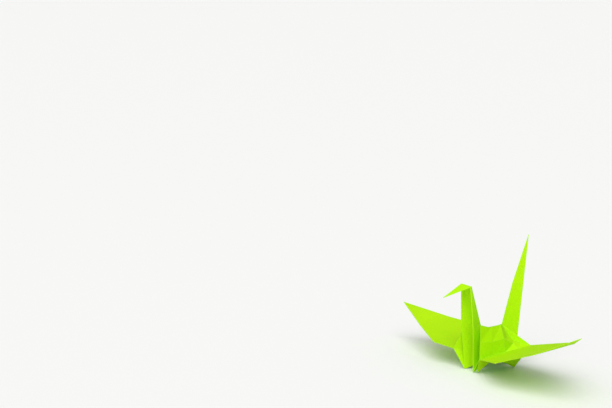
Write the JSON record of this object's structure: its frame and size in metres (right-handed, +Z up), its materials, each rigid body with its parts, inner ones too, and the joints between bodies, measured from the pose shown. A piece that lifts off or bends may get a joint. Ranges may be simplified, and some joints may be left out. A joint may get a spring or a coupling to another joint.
{
  "type": "origami crane",
  "caption": "Folded paper crane with spread wings, a bent neck with a pointed head, and an upright tail.",
  "frame": {"origin": "on the ground, under the middle of the crane's extent", "axes": "+X towards the near wing tip, -Y towards the beak, +Y towards the tail, +Z up"},
  "size_m": [0.1568, 0.0546, 0.0679],
  "materials": {
    "paper": "matte lime green, dyed through"
  },
  "bodies": {
    "root": {"crane": "paper"}
  },
  "joints": []
}
